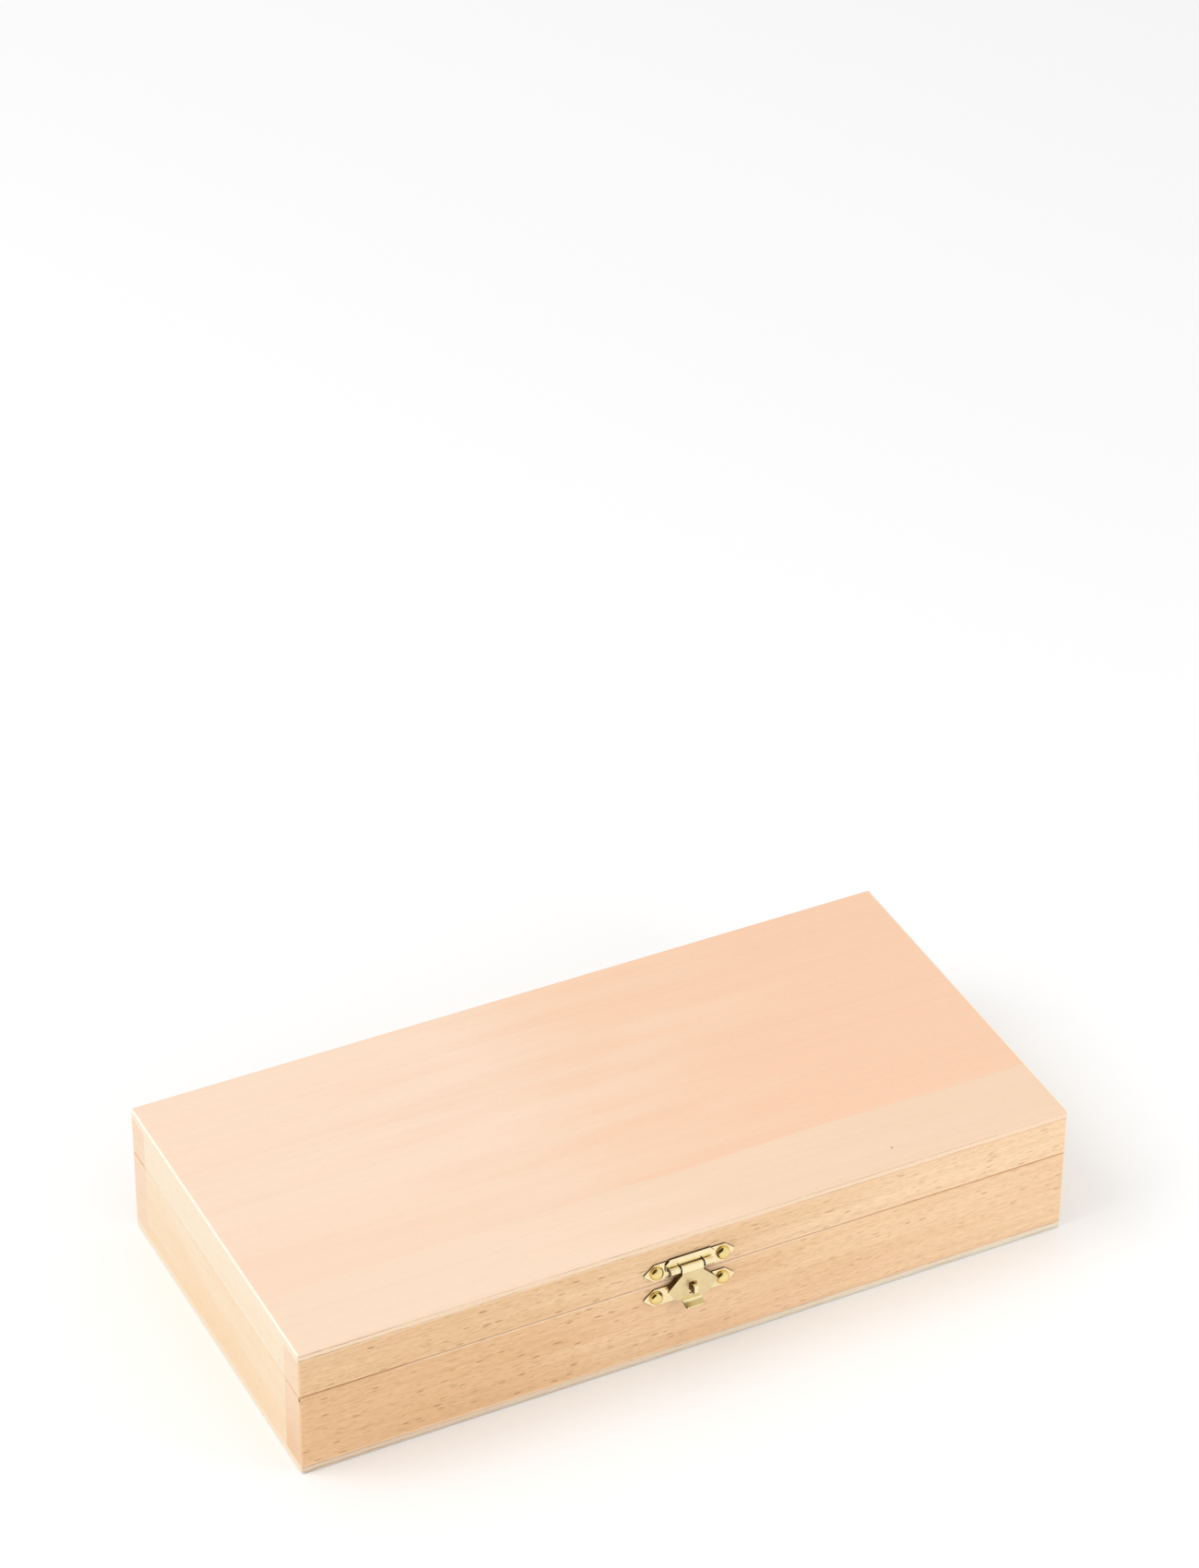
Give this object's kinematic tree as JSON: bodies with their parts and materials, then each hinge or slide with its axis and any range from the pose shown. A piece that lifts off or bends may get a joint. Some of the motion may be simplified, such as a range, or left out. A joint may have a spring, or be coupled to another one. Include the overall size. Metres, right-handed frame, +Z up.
{
  "type": "hinged wooden case",
  "caption": "Flat beech box with a plywood top and bottom, a lid hinged at the back and a nailed brass hasp that latches over a nose at the front.",
  "frame": {"origin": "middle of the underside", "axes": "+X along the length, to the right seen from the front; -Y towards the front with the hasp; +Z up"},
  "size_m": [0.252, 0.1324, 0.045],
  "materials": {
    "beech": "sanded, oiled",
    "plywood": "sanded, oiled",
    "brass": "bright stamped sheet",
    "nail_brass": "bright",
    "pin_steel": "drawn wire"
  },
  "bodies": {
    "base": {"base_front_board": "beech", "base_back_board": "beech", "base_left_board": "beech", "base_right_board": "beech", "base_bottom_panel": "plywood", "hinge_left_base_leaf": "brass", "hinge_right_base_leaf": "brass", "catch_plate": "brass", "hinge_base_nails": "nail_brass", "catch_nails": "nail_brass", "hinge_left_pin": "pin_steel", "hinge_right_pin": "pin_steel"},
    "lid": {"lid_front_board": "beech", "lid_back_board": "beech", "lid_left_board": "beech", "lid_right_board": "beech", "lid_top_panel": "plywood", "hinge_left_lid_leaf": "brass", "hinge_right_lid_leaf": "brass", "hinge_lid_nails": "nail_brass", "hasp_plate": "brass", "hasp_nails": "nail_brass", "hasp_pin": "pin_steel"},
    "flap": {"hasp_flap": "brass"}
  },
  "joints": [
    {"name": "lid_hinge", "type": "hinge", "parent": "base", "child": "lid", "pos_m": [0, 0.06365, 0.02885], "axis": [-1, 0, 0], "range_deg": [0, 180]},
    {"name": "flap_hinge", "type": "hinge", "parent": "lid", "child": "flap", "pos_m": [-0.0016, -0.06365, 0.03315], "axis": [-1, 0, 0], "range_deg": [0, 145]}
  ]
}
